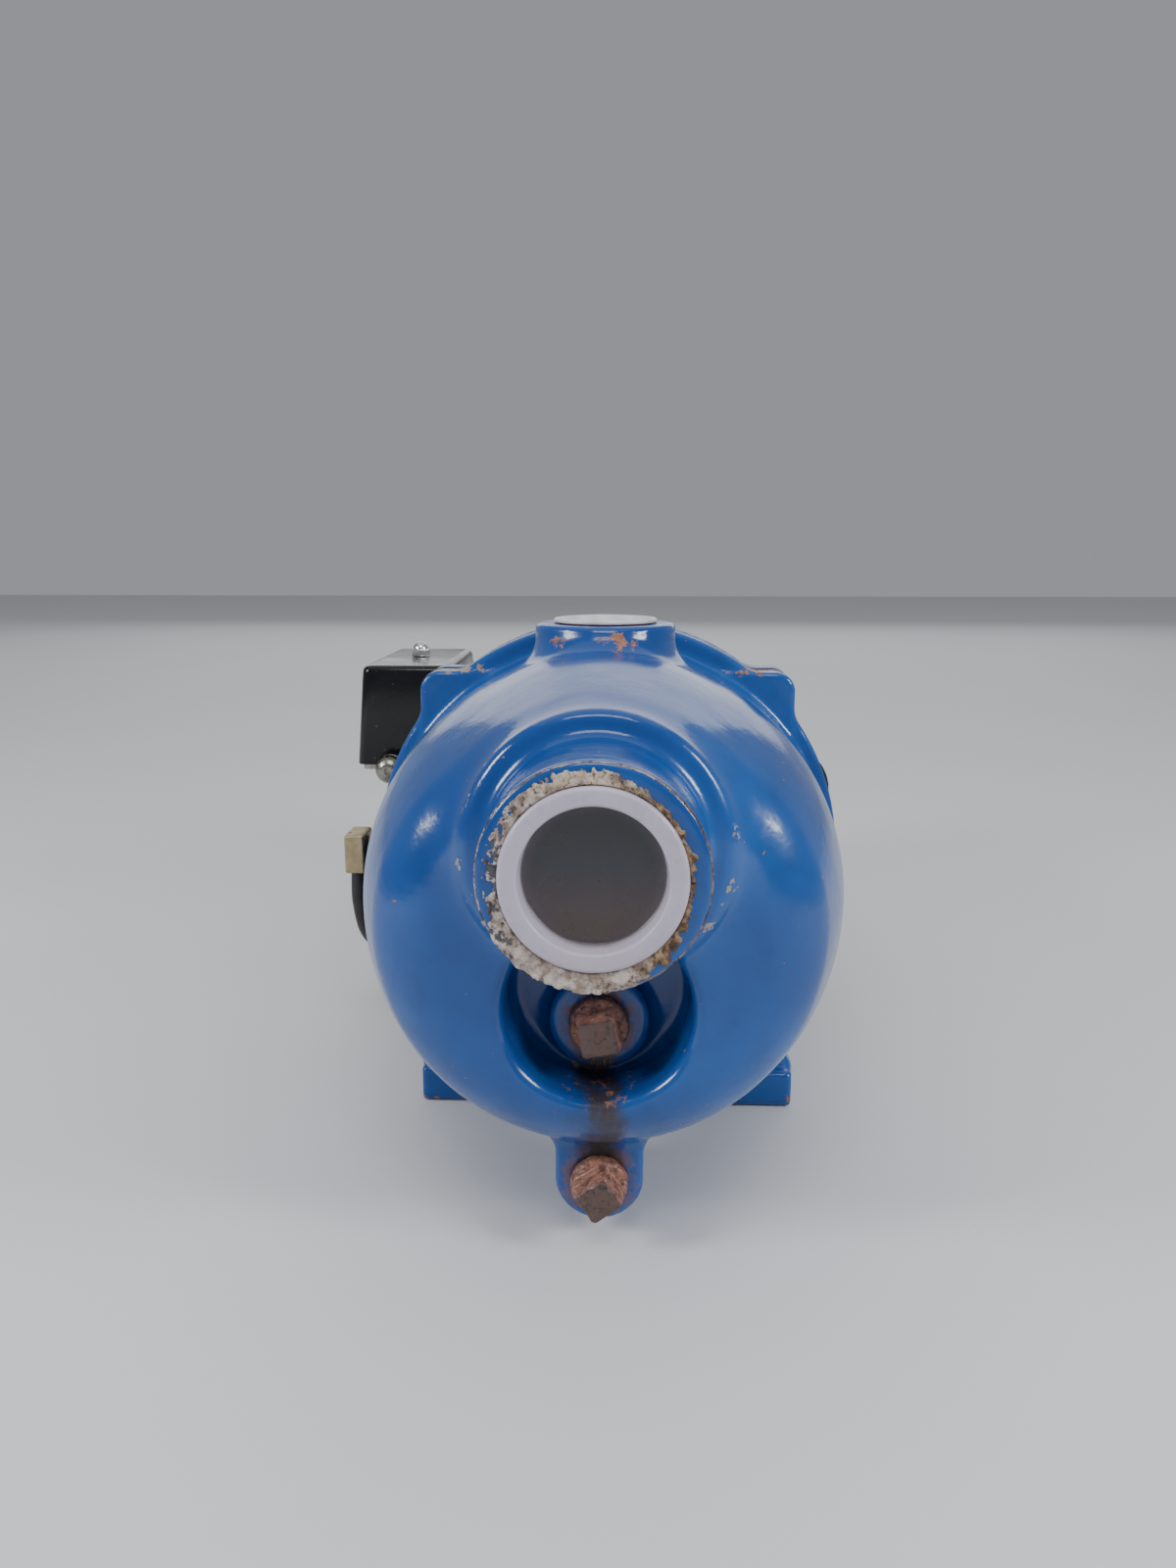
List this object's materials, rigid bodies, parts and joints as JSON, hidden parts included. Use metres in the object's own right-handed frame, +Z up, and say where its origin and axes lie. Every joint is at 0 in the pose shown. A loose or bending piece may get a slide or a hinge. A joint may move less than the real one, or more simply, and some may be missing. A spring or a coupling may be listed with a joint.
{
  "type": "jet pump",
  "caption": "Cast-iron water jet pump with a suction port in front, a discharge port on top, drain plugs, an electric motor behind and a pressure switch on its side.",
  "frame": {"origin": "centre of the underside of the foot", "axes": "+Z up, Y along the motor shaft with the suction port facing -Y, X across the pump with the pressure switch on -X"},
  "size_m": [0.2235, 0.4102, 0.1929],
  "materials": {
    "blue_paint": "gloss enamel over cast iron",
    "black_paint": "gloss black paint",
    "cap_plastic": "translucent moulding",
    "white_plastic": "matt moulding",
    "rusty_iron": "rusted",
    "gasket_fibre": "compressed fibre",
    "zinc_steel": "zinc plated",
    "shaft_steel": "ground",
    "lamination": "stacked sheet",
    "copper": "enamelled winding wire",
    "brass": "dull",
    "nickel": "nickel plated",
    "moulded_black": "glass-filled moulding",
    "moulded_tan": "glass-filled moulding",
    "rubber": "matt",
    "ceramic": "lapped ceramic",
    "bell_aluminium": "die cast",
    "phenolic": "moulded"
  },
  "bodies": {
    "pump_body": {"capacitor": "moulded_black", "capacitor_cover": "black_paint", "casing_gasket": "gasket_fibre", "conduit_gland": "nickel", "contact_block": "phenolic", "diaphragm_housing": "zinc_steel", "diffuser": "moulded_black", "ejector_body": "moulded_black", "elbow_nipple": "black_paint", "fan_cover": "black_paint", "fan_cover_screw_1": "zinc_steel", "fan_cover_screw_2": "zinc_steel", "fan_cover_screw_3": "zinc_steel", "flange_bolt_1": "zinc_steel", "flange_bolt_2": "zinc_steel", "flange_bolt_3": "zinc_steel", "flange_bolt_4": "zinc_steel", "front_bearing_outer": "shaft_steel", "front_end_bell": "bell_aluminium", "jet_nozzle": "brass", "motor_adapter": "blue_paint", "motor_shell": "black_paint", "pump_casing": "blue_paint", "rear_bearing_outer": "shaft_steel", "rear_end_bell": "bell_aluminium", "seal_seat": "ceramic", "sensing_tube": "rubber", "stator_core": "lamination", "switch_base": "zinc_steel", "switch_bracket": "black_paint", "switch_fitting": "brass", "switch_spring": "shaft_steel", "switch_stud": "zinc_steel", "through_bolt_1": "zinc_steel", "through_bolt_2": "zinc_steel", "through_bolt_3": "zinc_steel", "through_bolt_4": "zinc_steel", "tube_elbow": "brass", "winding_front": "copper", "winding_rear": "copper"},
    "rotor": {"impeller": "moulded_tan", "impeller_nut": "brass", "seal_head": "rubber", "seal_spring": "shaft_steel", "shaft_slinger": "rubber", "motor_shaft": "shaft_steel", "front_bearing_inner": "shaft_steel", "rear_bearing_inner": "shaft_steel", "rotor_core": "lamination", "cooling_fan": "moulded_black"},
    "suction_cap": {"suction_cap": "cap_plastic"},
    "discharge_cap": {"discharge_cap": "white_plastic"},
    "upper_plug": {"upper_plug": "rusty_iron"},
    "drain_plug": {"drain_plug": "rusty_iron"},
    "switch_cover": {"switch_cover": "black_paint", "switch_cover_nut": "nickel"},
    "switch_lever": {"switch_lever": "zinc_steel"}
  },
  "joints": [
    {"name": "rotor_spin", "type": "hinge", "parent": "pump_body", "child": "rotor", "pos_m": [0, 0, 0.105], "axis": [0, 1, 0], "continuous": true},
    {"name": "suction_cap_pull", "type": "slide", "parent": "pump_body", "child": "suction_cap", "axis": [0, -1, 0], "range_m": [0, 0.03]},
    {"name": "discharge_cap_pull", "type": "slide", "parent": "pump_body", "child": "discharge_cap", "axis": [0, 0, 1], "range_m": [0, 0.025]},
    {"name": "upper_plug_out", "type": "slide", "parent": "pump_body", "child": "upper_plug", "axis": [0, -1, 0], "range_m": [0, 0.03]},
    {"name": "drain_plug_out", "type": "slide", "parent": "pump_body", "child": "drain_plug", "axis": [0, -1, 0], "range_m": [0, 0.03]},
    {"name": "switch_cover_lift", "type": "slide", "parent": "pump_body", "child": "switch_cover", "axis": [0, 0, 1], "range_m": [0, 0.06]},
    {"name": "switch_lever_rock", "type": "hinge", "parent": "pump_body", "child": "switch_lever", "pos_m": [-0.0985, 0.083, 0.1204], "axis": [1, 0, 0], "range_deg": [0, 2]}
  ]
}
